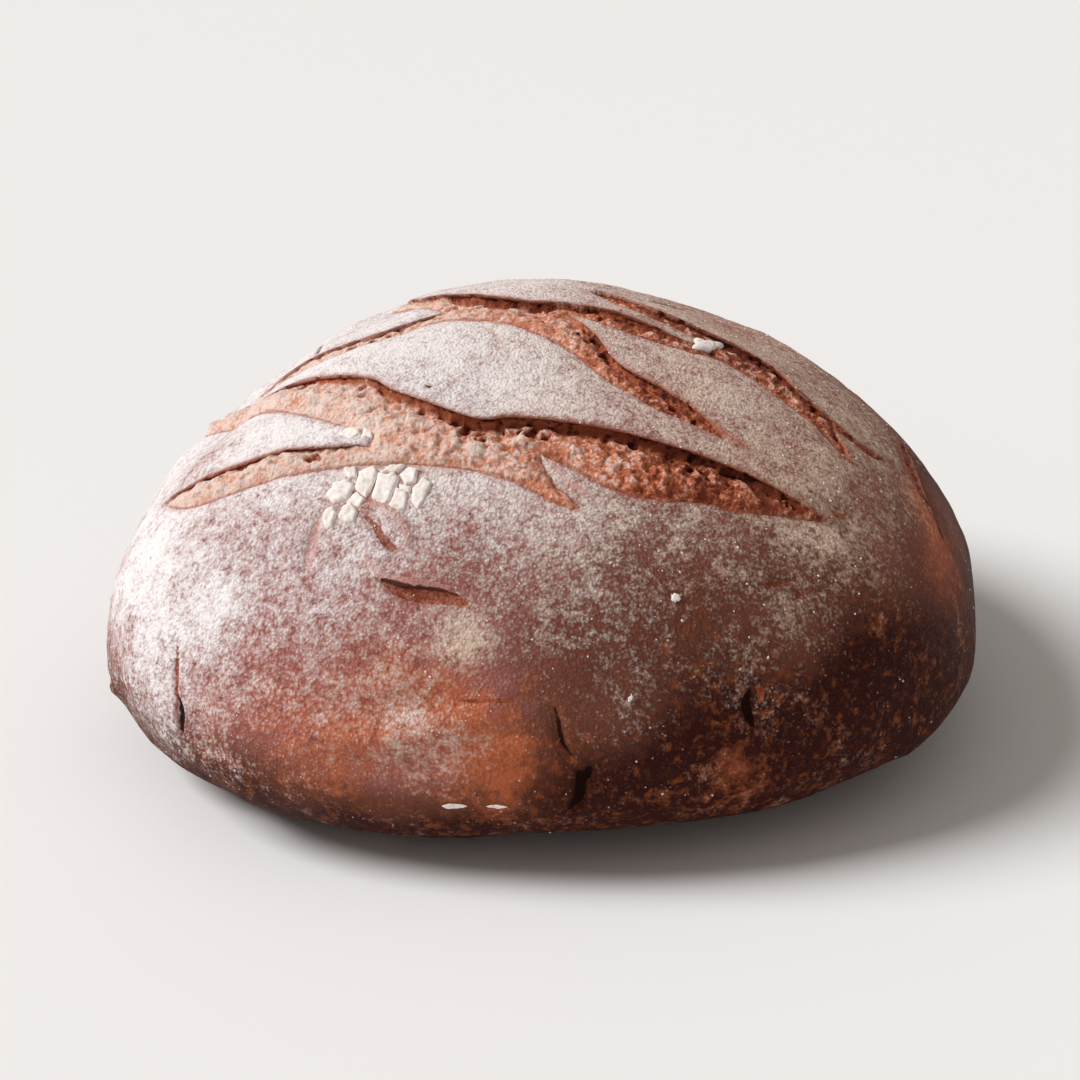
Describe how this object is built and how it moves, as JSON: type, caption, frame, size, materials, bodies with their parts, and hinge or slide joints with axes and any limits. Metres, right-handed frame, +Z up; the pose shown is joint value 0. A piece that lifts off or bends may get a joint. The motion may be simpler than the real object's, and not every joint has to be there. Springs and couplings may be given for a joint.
{
  "type": "sourdough loaf",
  "caption": "Round uncut sourdough loaf with a floured crust, burst slashes across the crown and a flat base to stand on.",
  "frame": {"origin": "middle of the flat base, on the surface the loaf stands on", "axes": "+Z up, +X to the right of the side that shows the slashes best, +Y to the back"},
  "size_m": [0.2424, 0.2467, 0.1169],
  "materials": {
    "crust": "matt, floured, dark baked crust with torn orange-brown crumb in the slashes"
  },
  "bodies": {
    "root": {"loaf": "crust"}
  },
  "joints": []
}
